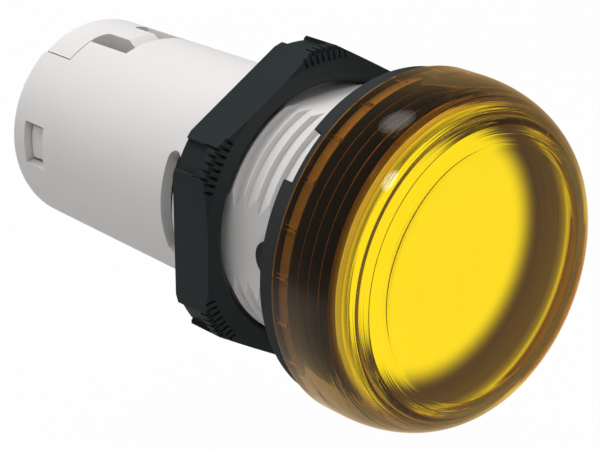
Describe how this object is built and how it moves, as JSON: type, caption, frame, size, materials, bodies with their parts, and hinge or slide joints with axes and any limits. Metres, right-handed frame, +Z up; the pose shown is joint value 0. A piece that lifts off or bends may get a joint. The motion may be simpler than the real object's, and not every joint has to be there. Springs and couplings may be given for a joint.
{
  "type": "panel pilot light",
  "caption": "Round amber LED pilot light with a threaded one-piece body, a hexagonal ring nut, a panel gasket and rear screw terminals.",
  "frame": {"origin": "on the axis of the thread, in the plane of the gasket's rear face, where the panel's front face lies", "axes": "+Y along the axis towards the terminals, so the lens looks towards -Y; +Z up; +X to the right as seen from the front"},
  "size_m": [0.0295, 0.0513, 0.0294],
  "materials": {
    "body_plastic": "moulded light grey, fine satin",
    "nut_plastic": "moulded black, satin",
    "gasket_rubber": "matt dark grey",
    "lens_amber": "clear amber polycarbonate, polished",
    "diffuser_yellow": "translucent yellow",
    "collar_black": "black, smooth",
    "seal_rubber": "matt black",
    "reflector_white": "white",
    "lamp_body": "ivory with a phosphor-yellow window",
    "board_white": "white solder mask",
    "board_green": "green solder mask",
    "header_black": "moulded black",
    "film_yellow": "moulded box",
    "chip_black": "moulded black",
    "can_sleeve": "dark blue sleeve",
    "resistor_blue": "lacquered",
    "resistor_tan": "lacquered",
    "varistor_blue": "epoxy dip",
    "terminal_brass": "tinned edge, plain",
    "steel_zinc": "zinc plated"
  },
  "bodies": {
    "base": {"housing": "body_plastic", "terminal_block": "body_plastic", "panel_gasket": "gasket_rubber", "lens": "lens_amber", "diffuser": "diffuser_yellow", "bezel_collar": "collar_black", "lens_seal": "seal_rubber", "reflector": "reflector_white", "lamp_board": "board_white", "lamp_1": "lamp_body", "lamp_2": "lamp_body", "lamp_3": "lamp_body", "lamp_4": "lamp_body", "lamp_5": "lamp_body", "lamp_6": "lamp_body", "supply_board": "board_green", "board_header": "header_black", "film_capacitor": "film_yellow", "bridge_rectifier": "chip_black", "smoothing_capacitor": "can_sleeve", "surge_resistor": "resistor_blue", "bleed_resistor": "resistor_tan", "varistor": "varistor_blue", "terminal_x1": "terminal_brass", "terminal_x2": "terminal_brass"},
    "nut": {"ring_nut": "nut_plastic"},
    "clamp_x1": {"clamp_plate_x1": "steel_zinc"},
    "clamp_x2": {"clamp_plate_x2": "steel_zinc"},
    "screw_x1": {"terminal_screw_x1": "steel_zinc"},
    "screw_x2": {"terminal_screw_x2": "steel_zinc"}
  },
  "joints": [
    {"name": "nut_travel", "type": "slide", "parent": "base", "child": "nut", "axis": [0, -1, 0], "range_m": [-0.004, 0.0062]},
    {"name": "clamp_x1_lift", "type": "slide", "parent": "base", "child": "clamp_x1", "axis": [0, 1, 0], "range_m": [0, 0.002]},
    {"name": "screw_x1_turn", "type": "hinge", "parent": "clamp_x1", "child": "screw_x1", "pos_m": [-0.0041, 0.037, 0.0016], "axis": [0, 1, 0], "range_deg": [0, 1440]},
    {"name": "clamp_x2_lift", "type": "slide", "parent": "base", "child": "clamp_x2", "axis": [0, 1, 0], "range_m": [0, 0.002]},
    {"name": "screw_x2_turn", "type": "hinge", "parent": "clamp_x2", "child": "screw_x2", "pos_m": [0.0041, 0.037, 0.0016], "axis": [0, 1, 0], "range_deg": [0, 1440]}
  ],
  "couplings": [
    {"joint": "screw_x1_turn", "follows": "clamp_x1_lift", "rad_per_m": 12566},
    {"joint": "screw_x2_turn", "follows": "clamp_x2_lift", "rad_per_m": 12566}
  ]
}
